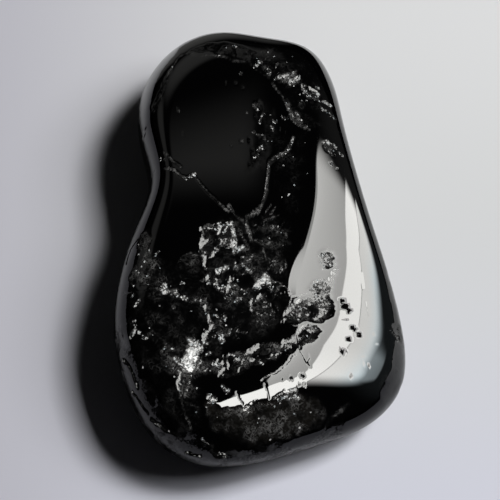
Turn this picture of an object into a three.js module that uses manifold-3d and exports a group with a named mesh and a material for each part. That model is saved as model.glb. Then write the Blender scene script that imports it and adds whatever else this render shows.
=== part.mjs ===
// A tumbled and polished black tourmaline (schorl) palm stone.
//
// Units are millimetres and +Z is up. The stone lies on its flatter side, its length runs along Y,
// and the origin is the middle of its bounding box on the surface it rests on. It is one piece of
// mineral: a waisted pebble with a low crown, whose polish is broken by rough hollows where slivers
// of the crystal came away, by cracks, and by chips along its edge.

import * as THREE from 'three';
import { mergeVertices } from 'three/addons/utils/BufferGeometryUtils.js';
import Module from 'manifold-3d';

// ---- Driving dimensions -------------------------------------------------------------------------

const CROWN_HEIGHT = 12.6; // highest point of the polished face above the resting face
const CROWN_AT = [-0.9, 0.0];
const FACE_RADIUS = 200; // the polished face is a very flat dome of this radius
const BELLY_POWER = 2.3; // how square the underside turns over
const GRID_CENTRE = new THREE.Vector3(-0.9, -2.5, 0);
const GRID_STEPS = 32; // squares across each of the two faces
const FACE_SHARE = 0.5; // share of the grid that covers a face, the rest turns over its shoulder

// The girdle is the outermost line of the stone, counter-clockwise from +X. Each station gives its
// x, y and height, then the x and y of the edge of the face across from it, the two powers of the
// shoulder between them (how it leaves the face, how square it meets the girdle: 2 and 2 make an
// ellipse, less than 2 first a bevel with a tight edge), and how wide the underside's shoulder is.
const GIRDLE = [
  [12.1, 0.1, 7.8, 4.9, -1.2, 1.3, 3.3, 8.0],
  [10.5, 6.1, 8.0, 5.6, 3.4, 1.3, 3.8, 8.0],
  [9.1, 12.8, 7.6, 5.7, 9.2, 1.4, 3.4, 7.5],
  [8.2, 18.0, 6.8, 4.8, 14.6, 1.8, 2.3, 7.5],
  [5.7, 22.7, 6.2, 2.8, 17.8, 2.0, 2.0, 7.5],
  [0.7, 24.3, 6.0, -0.3, 18.9, 2.0, 2.0, 7.5],
  [-4.4, 25.0, 6.0, -3.6, 19.2, 2.0, 2.0, 7.5],
  [-9.0, 23.2, 6.0, -6.6, 17.8, 2.0, 2.0, 7.5],
  [-12.1, 19.2, 6.0, -8.6, 15.0, 2.1, 2.1, 7.5],
  [-13.2, 14.5, 6.0, -9.4, 11.6, 2.1, 2.1, 7.5],
  [-12.5, 9.8, 6.0, -9.2, 7.6, 2.1, 2.1, 7.5],
  [-11.9, 5.2, 6.0, -8.9, 3.6, 2.1, 2.1, 7.5],
  [-13.4, 0.1, 6.0, -9.4, -0.6, 2.1, 2.1, 7.5],
  [-14.8, -5.5, 6.0, -10.1, -4.8, 2.1, 2.1, 7.5],
  [-15.1, -10.8, 6.0, -10.3, -8.8, 2.1, 2.1, 7.5],
  [-14.0, -16.0, 6.0, -9.8, -12.8, 2.1, 2.1, 7.5],
  [-11.5, -21.2, 6.0, -8.2, -17.6, 1.9, 2.0, 7.5],
  [-7.0, -24.4, 6.0, -4.9, -20.1, 1.5, 2.0, 7.5],
  [-1.4, -24.7, 6.0, -2.0, -19.0, 1.35, 2.1, 7.5],
  [4.6, -23.0, 5.8, 1.0, -17.6, 1.35, 2.1, 7.5],
  [10.6, -20.6, 5.5, 3.4, -15.4, 1.35, 2.2, 7.5],
  [14.4, -16.8, 5.2, 3.9, -12.2, 1.35, 2.3, 7.5],
  [15.1, -12.0, 5.8, 2.9, -9.0, 1.3, 2.4, 8.0],
  [13.8, -5.8, 7.2, 3.5, -5.4, 1.3, 2.8, 8.0],
];

// Rough hollows in the polished face: each is a run of small angular breaks along a path of [x, y]
// points. A row gives its name, the mean radius of a break, how deep it bites, how far the breaks
// stray from the path, the distance from one to the next, and the path.
const HOLLOWS = [
  ['east bay', 1.9, 0.8, 0.3, 1.2, [[0.6, -10.9], [3.0, -10.6], [6.8, -10.1]]],
  ['head of the bay', 1.3, 0.5, 0.2, 1.1, [[5.2, -8.8], [6.8, -8.6]]],
  ['chain of pits', 0.6, 0.35, 0.1, 0.9, [[7.9, -5.0], [7.5, -6.5], [7.3, -8.0]]],
  ['round patch', 1.2, 0.3, 0.0, 1.0, [[6.7, -4.5]]],
  ['tongue', 1.7, 0.7, 0.2, 1.3, [[5.2, -13.2], [2.1, -14.7], [-4.2, -16.3]]],
  ['below the tongue', 1.6, 0.4, 0.3, 1.5, [[1.2, -16.4], [-1.4, -17.2]]],
  ['box', 1.5, 0.5, 0.2, 1.3, [[-5.2, -2.8], [-3.2, -2.5], [-2.2, -4.0]]],
  ['middle', 1.6, 0.6, 0.3, 1.3, [[-5.2, -5.6], [-3.4, -6.6], [-1.6, -6.2]]],
  ['lower middle', 1.8, 0.5, 0.4, 1.4, [[-3.4, -8.2], [-0.6, -8.8], [2.2, -8.6]]],
  ['neck', 1.1, 0.5, 0.3, 1.1, [[-5.2, -10.4], [-4.4, -12.6], [-5.0, -13.8]]],
  ['ledge', 0.9, 0.5, 0.2, 1.1, [[-10.1, -8.1], [-7.6, -9.2], [-5.8, -9.6]]],
  ['west patch', 1.3, 0.4, 0.4, 1.2, [[-13.2, -5.0], [-11.6, -6.4], [-12.6, -7.8]]],
  ['west chip', 0.8, 0.35, 0.0, 1.0, [[-12.9, -11.9]]],
  ['bright pit', 1.0, 0.6, 0.1, 0.9, [[-6.7, -13.9], [-6.3, -15.2], [-7.4, -16.1]]],
  ['leaf', 0.7, 0.35, 0.0, 0.8, [[-7.9, -17.2], [-7.9, -19.4]]],
  ['north-east trail', 0.8, 0.4, 0.5, 1.1, [[0.4, 18.5], [4.4, 15.3], [8.5, 12.6]]],
  ['east knot', 0.8, 0.35, 0.2, 1.0, [[6.9, 8.6], [8.6, 5.7]]],
  ['notch in the waist', 0.8, 0.4, 0.0, 1.0, [[-11.6, 7.0], [-10.6, 6.9]]],
  ['south pits', 1.0, 0.3, 0.3, 1.9, [[-5.0, -19.6], [-0.9, -21.6], [2.5, -21.2]]],
  ['east pits', 0.5, 0.4, 0.2, 0.8, [[8.4, -10.0], [8.6, -11.4], [9.5, -13.0]]],
];

// Cracks: a V-shaped groove along a path, widest in the middle of its length. A row gives its name,
// width, depth and path.
const CRACKS = [
  ['waist crack', 0.4, 0.25, [[-11.5, 7.4], [-8.8, 5.5], [-5.7, 3.3], [-3.1, 0.4], [-0.8, -3.0]]],
  ['wavy crack', 0.4, 0.25, [[3.6, 9.0], [3.4, 7.8], [1.0, 6.4], [0.8, 2.8], [-1.2, -0.4], [-0.8, -3.0]]],
  ['north-west groove', 1.1, 0.45,
    [[-11.6, 12.3], [-10.8, 14.9], [-9.2, 18.6], [-6.5, 21.0], [-2.5, 21.2], [0.1, 20.3]]],
  ['south-west crack', 0.5, 0.35, [[-13.3, -14.7], [-12.4, -17.9], [-11.1, -20.2], [-8.8, -22.2]]],
  ['south crack', 0.5, 0.35, [[-6.1, -21.4], [-4.3, -22.9], [-3.1, -23.8]]],
  ['corner crack', 0.3, 0.2, [[10.4, -12.7], [9.6, -14.2], [7.7, -16.1], [5.6, -17.2]]],
];

// Chips in the edge: [station along the girdle, height above the girdle, radius, depth].
const EDGE_CHIPS = [
  [5.1, 1.8, 1.3, 0.5],
  [11.3, 0.6, 1.6, 0.5],
  [12.5, 3.2, 1.2, 0.4],
  [13.3, 2.4, 1.1, 0.4],
  [17.6, -0.6, 1.4, 0.4],
  [21.1, 1.2, 1.2, 0.4],
  [22.2, 1.0, 1.2, 0.5],
];

const CHIP_UNEVENNESS = 0.16; // how far the corners of a break stray, as a share of its radius
const SIZE_VARIATION = 0.2;
const DEPTH_VARIATION = 0.25;
const FLAT_TO_CORNER = 0.88; // a break's flats lie this much nearer its middle than its corners
const CRACK_END = 0.35; // how wide and deep a crack is at its ends, as a share of its middle
const CRACK_STEPS = 4; // rings of a crack's cutter per stretch of its path
const SEED = 20;

const BLACK = 0x0a0a0b;
const POLISHED = 0.08; // roughness

const MERGE_DISTANCE = 1e-4; // corners closer than this are one corner
const CLEAR = 10; // how far outside the stone a measuring ray starts

// ---- The pebble ---------------------------------------------------------------------------------

const closedCurve = (points) => new THREE.CatmullRomCurve3(points, true, 'catmullrom', 0.5);
const girdleCurve = closedCurve(GIRDLE.map((station) => new THREE.Vector3(...station.slice(0, 3))));
const faceEdgeCurve = closedCurve(GIRDLE.map(([, , , x, y]) => new THREE.Vector3(x, y, 0)));
const shoulderCurve = closedCurve(GIRDLE.map((station) => new THREE.Vector3(...station.slice(5))));

// A square grid is bent onto a disc: gives the distance from the middle, 0 to 1, and the turn, 0 to 1.
function discFromSquare(a, b) {
  const reach = Math.max(Math.abs(a), Math.abs(b));
  if (reach === 0) return { reach, turn: 0 };
  const eighth = Math.PI / 4;
  const sideways = Math.abs(a) >= Math.abs(b);
  let angle = sideways ? eighth * (b / a) : 2 * eighth - eighth * (a / b);
  if (sideways ? a < 0 : b < 0) angle += Math.PI;
  return { reach, turn: (angle / (2 * Math.PI) + 1) % 1 };
}

function faceHeight(x, y) {
  const [crownX, crownY] = CROWN_AT;
  return CROWN_HEIGHT - ((x - crownX) ** 2 + (y - crownY) ** 2) / (2 * FACE_RADIUS);
}

// A point of the grid. The outer rings turn over the shoulder, from the girdle to the edge of the
// face, along a quarter of a superellipse in equal steps of angle. The inner ones cross the face.
function stonePoint(reach, turn, isTop) {
  const girdle = girdleCurve.getPoint(turn);
  const shoulder = shoulderCurve.getPoint(turn);
  const leaving = isTop ? shoulder.x : BELLY_POWER;
  const meeting = isTop ? shoulder.y : BELLY_POWER;
  const bellyReach = shoulder.z / Math.hypot(girdle.x - GRID_CENTRE.x, girdle.y - GRID_CENTRE.y);
  const faceEdge = isTop ? faceEdgeCurve.getPoint(turn) : girdle.clone().lerp(GRID_CENTRE, bellyReach);
  const onFace = reach < FACE_SHARE;
  const angle = (1 - reach) / (1 - FACE_SHARE) * Math.PI / 2;
  const rise = onFace ? 1 : Math.sin(angle) ** (2 / meeting);
  const { x, y } = onFace
    ? GRID_CENTRE.clone().lerp(faceEdge, reach / FACE_SHARE)
    : girdle.clone().lerp(faceEdge, 1 - Math.cos(angle) ** (2 / leaving));
  const z = isTop ? girdle.z + (faceHeight(x, y) - girdle.z) * rise : girdle.z * (1 - rise);
  return [x, y, z];
}

// Both faces share the points of the girdle, so merging them closes the pebble.
function pebbleGeometry() {
  const positions = [];
  for (const isTop of [true, false]) {
    const corner = (i, j) => {
      const { reach, turn } = discFromSquare(2 * i / GRID_STEPS - 1, 2 * j / GRID_STEPS - 1);
      return stonePoint(reach, turn, isTop);
    };
    for (let i = 0; i < GRID_STEPS; i++) {
      for (let j = 0; j < GRID_STEPS; j++) {
        const square = [corner(i, j), corner(i + 1, j), corner(i + 1, j + 1), corner(i, j + 1)];
        const leansLeft = (i < GRID_STEPS / 2) === (j < GRID_STEPS / 2);
        const triangles = leansLeft ? [[0, 1, 2], [0, 2, 3]] : [[0, 1, 3], [1, 2, 3]];
        for (const [p, q, r] of triangles) {
          const order = isTop ? [p, q, r] : [p, r, q];
          for (const k of order) positions.push(...square[k]);
        }
      }
    }
  }
  const geometry = new THREE.BufferGeometry();
  geometry.setAttribute('position', new THREE.Float32BufferAttribute(positions, 3));
  return mergeVertices(geometry, MERGE_DISTANCE);
}

// ---- Solids -------------------------------------------------------------------------------------

const wasm = await Module();
wasm.setup();

function solidFrom(geometry) {
  const bare = geometry.clone();
  bare.deleteAttribute('normal');
  bare.deleteAttribute('uv');
  const merged = mergeVertices(bare, MERGE_DISTANCE);
  const vertProperties = new Float32Array(merged.attributes.position.array);
  const triVerts = new Uint32Array(merged.index.array);
  return new wasm.Manifold(new wasm.Mesh({ numProp: 3, vertProperties, triVerts }));
}

function geometryFrom(solid) {
  const { vertProperties, triVerts, numProp } = solid.getMesh();
  if (numProp !== 3) throw new Error('expected bare positions');
  const geometry = new THREE.BufferGeometry();
  geometry.setAttribute('position', new THREE.Float32BufferAttribute(vertProperties, 3));
  geometry.setIndex([...triVerts]);
  const faceted = geometry.toNonIndexed();
  faceted.computeVertexNormals();
  return faceted;
}

// Repeatable random numbers from 0 to 1.
function randomNumbers(seed) {
  let state = seed;
  return () => {
    state = (state + 0x6d2b79f5) | 0;
    let mixed = Math.imul(state ^ (state >>> 15), 1 | state);
    mixed = (mixed + Math.imul(mixed ^ (mixed >>> 7), 61 | mixed)) ^ mixed;
    return ((mixed ^ (mixed >>> 14)) >>> 0) / 4294967296;
  };
}
const random = randomNumbers(SEED);
const jitter = (amount) => (random() - 0.5) * 2 * amount;

// ---- What breaks the polish ---------------------------------------------------------------------

const pebble = pebbleGeometry();
const pebbleMesh = new THREE.Mesh(pebble, new THREE.MeshStandardMaterial());
const raycaster = new THREE.Raycaster();

// The point of the polished top above (x, y), and the way the surface faces there.
function topAt(x, y) {
  raycaster.set(new THREE.Vector3(x, y, CROWN_HEIGHT + CLEAR), new THREE.Vector3(0, 0, -1));
  const [hit] = raycaster.intersectObject(pebbleMesh);
  if (!hit) throw new Error(`no stone under ${x}, ${y}`);
  return { point: hit.point, normal: hit.face.normal.clone() };
}

// The point of the girdle at a station, raised or lowered, and the way it faces.
function edgeAt(station, lift) {
  const turn = (station / GIRDLE.length) % 1;
  const along = girdleCurve.getTangent(turn);
  const normal = new THREE.Vector3(along.y, -along.x, 0).normalize();
  const point = girdleCurve.getPoint(turn).add(new THREE.Vector3(0, 0, lift));
  raycaster.set(point.clone().addScaledVector(normal, CLEAR), normal.clone().negate());
  const [hit] = raycaster.intersectObject(pebbleMesh);
  return { point: hit.point, normal: hit.face.normal.clone() };
}

// An icosahedron with its corners pushed about: an angular lump of the size of one break.
function unevenLump(radius) {
  const ball = new THREE.IcosahedronGeometry(radius, 0);
  ball.deleteAttribute('normal');
  ball.deleteAttribute('uv');
  const lump = mergeVertices(ball, MERGE_DISTANCE);
  const corners = lump.attributes.position;
  const corner = new THREE.Vector3();
  const shift = new THREE.Vector3();
  for (let i = 0; i < corners.count; i++) {
    shift.set(jitter(1), jitter(1), jitter(1)).multiplyScalar(radius * CHIP_UNEVENNESS);
    corner.fromBufferAttribute(corners, i).add(shift);
    corners.setXYZ(i, ...corner);
  }
  return lump;
}

// The lump that bites `depth` into the surface at a place.
function breakOut({ point, normal }, radius, depth) {
  const centre = point.clone().addScaledVector(normal, radius * FLAT_TO_CORNER - depth);
  const lump = unevenLump(radius);
  lump.rotateX(random() * Math.PI).rotateY(random() * Math.PI);
  lump.translate(centre.x, centre.y, centre.z);
  return solidFrom(lump);
}

function breaksAlong([, size, depth, spread, step, path]) {
  const flat = path.map(([x, y]) => new THREE.Vector3(x, y, 0));
  const route = new THREE.CurvePath();
  for (let i = 0; i + 1 < flat.length; i++) route.add(new THREE.LineCurve3(flat[i], flat[i + 1]));
  const count = flat.length > 1 ? Math.max(2, Math.round(route.getLength() / step) + 1) : 1;
  return Array.from({ length: count }, (_, i) => {
    const middle = count > 1 ? route.getPoint(i / (count - 1)) : flat[0];
    const place = topAt(middle.x + jitter(spread), middle.y + jitter(spread));
    return breakOut(place, size * (1 + jitter(SIZE_VARIATION)), depth * (1 + jitter(DEPTH_VARIATION)));
  });
}

// A long four-sided spindle lying in the surface: its lower edge cuts the V of the crack.
function crackCutter([, width, depth, path]) {
  const steps = CRACK_STEPS * (path.length - 1);
  const plan = new THREE.CatmullRomCurve3(path.map(([x, y]) => new THREE.Vector3(x, y, 0)));
  const positions = [];
  const rings = [];
  for (let i = 0; i <= steps; i++) {
    const middle = plan.getPoint(i / steps);
    const along = plan.getTangent(i / steps);
    const { point, normal } = topAt(middle.x, middle.y);
    const fullness = CRACK_END + (1 - CRACK_END) * Math.sin(Math.PI * i / steps);
    const side = new THREE.Vector3().crossVectors(normal, along).normalize();
    const half = width / 2 * fullness * (1 + jitter(SIZE_VARIATION));
    const deep = depth * fullness * (1 + jitter(DEPTH_VARIATION));
    rings.push([
      point.clone().addScaledVector(side, half),
      point.clone().addScaledVector(normal, deep),
      point.clone().addScaledVector(side, -half),
      point.clone().addScaledVector(normal, -deep),
    ]);
  }
  const quad = (a, b, c, d) => [a, b, c, a, c, d].forEach((p) => positions.push(p.x, p.y, p.z));
  for (let i = 0; i < steps; i++) {
    for (let k = 0; k < 4; k++) {
      const next = (k + 1) % 4;
      quad(rings[i][k], rings[i][next], rings[i + 1][next], rings[i + 1][k]);
    }
  }
  quad(...rings[0].toReversed());
  quad(...rings[steps]);
  const geometry = new THREE.BufferGeometry();
  geometry.setAttribute('position', new THREE.Float32BufferAttribute(positions, 3));
  return solidFrom(geometry);
}

// ---- The stone ----------------------------------------------------------------------------------

let stone = solidFrom(pebble);
const cutters = [
  ...HOLLOWS.flatMap(breaksAlong),
  ...CRACKS.map(crackCutter),
  ...EDGE_CHIPS.map(([station, lift, radius, depth]) => breakOut(edgeAt(station, lift), radius, depth)),
];
for (const cutter of cutters) stone = stone.subtract(cutter);

const mesh = new THREE.Mesh(
  geometryFrom(stone),
  new THREE.MeshStandardMaterial({ color: BLACK, roughness: POLISHED, metalness: 0 }),
);
mesh.name = 'tourmaline_stone';

const model = new THREE.Group();
model.add(mesh);
export default model;
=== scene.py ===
import bpy
import numpy as np
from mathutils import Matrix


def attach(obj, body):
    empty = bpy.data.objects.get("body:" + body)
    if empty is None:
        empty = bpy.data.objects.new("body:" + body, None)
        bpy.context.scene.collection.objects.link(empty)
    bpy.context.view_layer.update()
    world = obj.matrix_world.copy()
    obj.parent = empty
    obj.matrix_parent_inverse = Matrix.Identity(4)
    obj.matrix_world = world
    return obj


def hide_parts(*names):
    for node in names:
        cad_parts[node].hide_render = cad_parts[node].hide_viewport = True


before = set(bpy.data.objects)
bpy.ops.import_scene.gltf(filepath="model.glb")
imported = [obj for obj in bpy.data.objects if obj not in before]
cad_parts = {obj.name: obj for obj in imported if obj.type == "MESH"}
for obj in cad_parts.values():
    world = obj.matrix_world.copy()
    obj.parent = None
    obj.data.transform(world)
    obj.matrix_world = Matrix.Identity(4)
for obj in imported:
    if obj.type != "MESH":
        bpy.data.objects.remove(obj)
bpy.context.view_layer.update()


# The stone's worn form. One lump of black tourmaline, tumbled until it has a wide, almost flat
# face above, rounded shoulders and a soft belly that it rests on. All sizes of the stone are in
# millimetres, until its mesh is made.
CROWN = 12.6
CROWN_SIDEWAYS = -0.9
FACE_RADIUS = 200.0
BELLY_POWER = 2.3
GRID_CENTRE = (-0.9, -2.5)
FACE_SHARE = 0.6
TOP_STEPS = 280
TINY = 1e-12
# Widest line of the stone, counter-clockwise: x, y, height, then the edge of the face that
# belongs to it (x, y), how sharply the shoulder leaves the face, how it meets this line, and
# how far the belly reaches in.
GIRDLE = np.array([
    (12.1, 0.1, 7.8, 4.9, -1.2, 1.3, 3.3, 8.0),
    (10.5, 6.1, 8.0, 5.6, 3.4, 1.3, 3.8, 8.0),
    (9.1, 12.8, 7.6, 5.7, 9.2, 1.4, 3.4, 7.5),
    (8.2, 18.0, 6.8, 4.8, 14.6, 1.8, 2.3, 7.5),
    (5.7, 22.7, 6.2, 2.8, 17.8, 2.0, 2.0, 7.5),
    (0.7, 24.3, 6.0, -0.3, 18.9, 2.0, 2.0, 7.5),
    (-4.4, 25.0, 6.0, -3.6, 19.2, 2.0, 2.0, 7.5),
    (-9.0, 23.2, 6.0, -6.6, 17.8, 2.0, 2.0, 7.5),
    (-12.1, 19.2, 6.0, -8.6, 15.0, 2.1, 2.1, 7.5),
    (-13.2, 14.5, 6.0, -9.4, 11.6, 2.1, 2.1, 7.5),
    (-12.5, 9.8, 6.0, -9.2, 7.6, 2.1, 2.1, 7.5),
    (-11.9, 5.2, 6.0, -8.9, 3.6, 2.1, 2.1, 7.5),
    (-13.4, 0.1, 6.0, -9.4, -0.6, 2.1, 2.1, 7.5),
    (-14.8, -5.5, 6.0, -10.1, -4.8, 2.1, 2.1, 7.5),
    (-15.1, -10.8, 6.0, -10.3, -8.8, 2.1, 2.1, 7.5),
    (-14.0, -16.0, 6.0, -9.8, -12.8, 2.1, 2.1, 7.5),
    (-11.5, -21.2, 6.0, -8.2, -17.6, 1.9, 2.0, 7.5),
    (-7.0, -24.4, 6.0, -4.9, -20.1, 1.5, 2.0, 7.5),
    (-1.4, -24.7, 6.0, -2.0, -19.0, 1.35, 2.1, 7.5),
    (4.6, -23.0, 5.8, 1.0, -17.6, 1.35, 2.1, 7.5),
    (10.6, -20.6, 5.5, 3.4, -15.4, 1.35, 2.2, 7.5),
    (14.4, -16.8, 5.2, 3.9, -12.2, 1.35, 2.3, 7.5),
    (15.1, -12.0, 5.8, 2.9, -9.0, 1.3, 2.4, 8.0),
    (13.8, -5.8, 7.2, 3.5, -5.4, 1.3, 2.8, 8.0),
])


def girdle_at(turn):
    """Girdle row at each share of a turn: a closed cubic spline through the stations, whose
    slopes m solve m[i-1] + 4 m[i] + m[i+1] = 3 (row[i+1] - row[i-1])."""
    count = len(GIRDLE)
    bend = 4 * np.eye(count) + np.roll(np.eye(count), 1, 1) + np.roll(np.eye(count), -1, 1)
    slope = np.linalg.solve(bend, 3 * (np.roll(GIRDLE, -1, 0) - np.roll(GIRDLE, 1, 0)))
    place = turn * count
    station = np.floor(place).astype(int) % count
    after = (station + 1) % count
    f = (place - np.floor(place))[..., None]
    near = (2 * f**3 - 3 * f**2 + 1) * GIRDLE[station] + (f**3 - 2 * f**2 + f) * slope[station]
    far = (3 * f**2 - 2 * f**3) * GIRDLE[after] + (f**3 - f**2) * slope[after]
    return near + far


def square_as_disc(steps):
    """A square grid bent onto a disc: reach is the larger of |a| and |b|, and the turn runs
    evenly along each square ring."""
    line = np.linspace(-1, 1, steps + 1)
    a, b = np.meshgrid(line, line)
    reach = np.maximum(abs(a), abs(b))
    sideways = abs(a) >= abs(b)
    safe_a = np.where(a == 0, 1, a)
    safe_b = np.where(b == 0, 1, b)
    turn = np.where(sideways, b / safe_a / 8, 0.25 - a / safe_b / 8)
    turn = turn + np.where(np.where(sideways, a < 0, b < 0), 0.5, 0)
    return reach, np.where(reach == 0, 0, turn % 1)


def stone_side(steps, is_top):
    """Points of one side of the stone. Outside FACE_SHARE the shoulder runs from the girdle to
    the face's edge along in = 1 - cos(angle)^(2/m), up = sin(angle)^(2/p); inside it the face
    is a dome of FACE_RADIUS, and the underside is flat."""
    reach, turn = square_as_disc(steps)
    row = girdle_at(turn)
    girdle = row[..., :2]
    centre = np.array(GRID_CENTRE)
    to_centre = centre - girdle
    far = np.linalg.norm(to_centre, axis=-1)[..., None]
    edge = row[..., 3:5] if is_top else girdle + to_centre / far * row[..., 7:8]
    leaving = row[..., 5] if is_top else BELLY_POWER
    meeting = row[..., 6] if is_top else BELLY_POWER
    angle = np.clip((1 - reach) / (1 - FACE_SHARE), 0, 1) * np.pi / 2
    shoulder_in = (1 - np.clip(np.cos(angle), 0, 1) ** (2 / leaving))[..., None]
    up = np.clip(np.sin(angle), 0, 1) ** (2 / meeting)
    on_face = (reach < FACE_SHARE)[..., None]
    inner = centre + (edge - centre) * (reach / FACE_SHARE)[..., None]
    plan = np.where(on_face, inner, girdle + (edge - girdle) * shoulder_in)
    x, y = plan[..., 0], plan[..., 1]
    face = CROWN - ((x - CROWN_SIDEWAYS) ** 2 + y**2) / (2 * FACE_RADIUS)
    height = row[..., 2] + (face - row[..., 2]) * up if is_top else row[..., 2] * (1 - up)
    return np.stack([x, y, height], -1)


def outward(points):
    """Unit normals of a grid of points: the cross product of its two directions."""
    normal = np.cross(np.gradient(points, axis=1), np.gradient(points, axis=0))
    return normal / (np.linalg.norm(normal, axis=-1, keepdims=True) + TINY)


# How the mineral breaks. Tumbling has not reached the bottom of the old breaks, so they keep
# the small tilted facets of broken tourmaline, with a crisp lip where the polish stops.
FAR_AWAY = 1e9
FACET_SIZE = 1.3
FACET_LEAN = 0.05
FACET_STEP = 0.04


def hashed(cells, salt):
    """A fixed number from 0 to 1 for each whole-numbered cell: its indices times large primes,
    mixed with shifts."""
    cells = cells.astype(np.int64)
    mixed = cells[..., 0] * 73856093 ^ cells[..., 1] * 19349663 ^ cells[..., 2] * 83492791
    mixed = (mixed ^ salt * 40503) & 0xFFFFFFFF
    mixed = (mixed ^ mixed >> 15) * 73244475 & 0xFFFFFFFF
    mixed = (mixed ^ mixed >> 13) * 19349669 & 0xFFFFFFFF
    return (mixed ^ mixed >> 16) / 4294967296.0


def lattice_noise(points, size, salt):
    """Smooth noise from -1 to 1: hashed values on a lattice of the given size, blended over
    the eight corners of each cell."""
    place = points / size
    cell = np.floor(place)
    f = place - cell
    f = f * f * (3 - 2 * f)
    total = 0
    for corner in np.ndindex(2, 2, 2):
        weight = np.prod(np.where(np.array(corner) == 1, f, 1 - f), axis=-1)
        total = total + weight * hashed(cell + np.array(corner), salt)
    return total * 2 - 1


def facets(points, salt):
    """Height of a broken face: the nearest of one strayed point per cell owns each place, and
    its facet is a plane through that point, with a lean and a step of its own."""
    cell = np.floor(points / FACET_SIZE)
    nearest = np.full(points.shape[:-1], FAR_AWAY)
    height = np.zeros(points.shape[:-1])
    for step in np.ndindex(3, 3, 3):
        other = cell + np.array(step) - 1
        seed = np.stack([hashed(other, salt + k) for k in range(3)], -1)
        away = points - (other + seed) * FACET_SIZE
        distance = np.linalg.norm(away, axis=-1)
        lean = np.stack([hashed(other, salt + 3 + k) - 0.5 for k in range(3)], -1)
        plane = np.sum(away * (lean * 2 * FACET_LEAN), axis=-1)
        plane = plane + (hashed(other, salt + 6) - 0.5) * FACET_SIZE * FACET_STEP
        closer = distance < nearest
        nearest = np.where(closer, distance, nearest)
        height = np.where(closer, plane, height)
    return height


def beside(points, path):
    """Distance to the nearest place on an open path: on each stretch from a to b it is the
    length of p - a - share * (b - a), where the share is kept between 0 and 1."""
    nearest = np.full(points.shape[:-1], FAR_AWAY)
    x, y = points[..., 0], points[..., 1]
    corners = np.array(path, float)
    if len(corners) == 1:
        return np.hypot(x - corners[0, 0], y - corners[0, 1])
    for (ax, ay), (bx, by) in zip(corners[:-1], corners[1:]):
        ux, uy = bx - ax, by - ay
        share = np.clip(((x - ax) * ux + (y - ay) * uy) / (ux * ux + uy * uy + TINY), 0, 1)
        nearest = np.minimum(nearest, np.hypot(x - ax - share * ux, y - ay - share * uy))
    return nearest


def inside(points, outline):
    """Distance to the nearest side of a closed outline, positive inside it. The side is known
    from how many edges a line to the right would cross."""
    nearest = beside(points, outline + outline[:1])
    crossed = np.zeros(points.shape[:-1], bool)
    x, y = points[..., 0], points[..., 1]
    corners = np.array(outline, float)
    for (ax, ay), (bx, by) in zip(corners, np.roll(corners, -1, 0)):
        spans = (ay > y) != (by > y)
        crossed ^= spans & (x < ax + (y - ay) * (bx - ax) / (by - ay if by - ay else TINY))
    return np.where(crossed, nearest, -nearest)


def eased(value, low, high):
    """0 below low, 1 above high, and a smooth step between."""
    f = np.clip((value - low) / (high - low), 0, 1)
    return f * f * (3 - 2 * f)


# The broken ground of the face, seen from above. Each row gives the depth, how rough it is, the share
# of its small facets that catch the window, how pale its crushed mineral is (where a row shines, this
# pale colour is partly a painted highlight), how far its floor turns up to the dark ceiling (below
# zero it turns outward), and an outline.
WORN = [
    # the upper left shoulder, the whole broken ground, and three stretches that are only pricked
    (0, 0.02, 0, 0.001, -0.5, [(-12.4, 6.5), (-12, 9.5), (-11.6, 12.7), (-11, 15.2), (-9.9, 18),
     (-8.6, 20), (-8.4, 23), (-12.5, 20), (-15.5, 14), (-15.5, 6.5)]),
    (0.02, 0.15, 0.003, 0.006, 0, [(-13.4, -1.5), (-10.5, -4), (-8.5, -6), (-6.8, -4.5),
     (-6.2, -1.2), (-3, 0.4), (-0.8, -0.2), (1.5, 0.4), (3.4, -0.9), (3.4, -5.5),
     (3, -8.3), (2.6, -11.8), (1, -13.8),
     (-3, -15), (-6, -17.5), (-5.7, -20), (-5.6, -22.8), (-9, -21.5), (-13.3, -15.5),
     (-14.4, -9)]),
    (0.01, 0.06, 0.008, 0.0025, 0, [(0.4, 9.6), (3.9, 9.4), (5.2, 10.2), (4.9, 4), (4.2, 0),
     (2.6, 0.2), (1.3, 2), (1.3, 6.4)]),
    (0.01, 0.08, 0.012, 0.0035, 0, [(-1.8, 18.2), (-1.9, 21), (1, 21.2), (5.5, 19), (7.6, 13.5),
     (7.2, 10.5), (4.6, 9.8), (3, 12), (1.4, 15.8)]),
    (0.01, 0.03, 0.005, 0.0015, 0, [(-1, 14), (2, 13), (2.2, 9.5), (0.6, 5), (-1.6, 4.6), (-0.4, 9)]),
]
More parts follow.
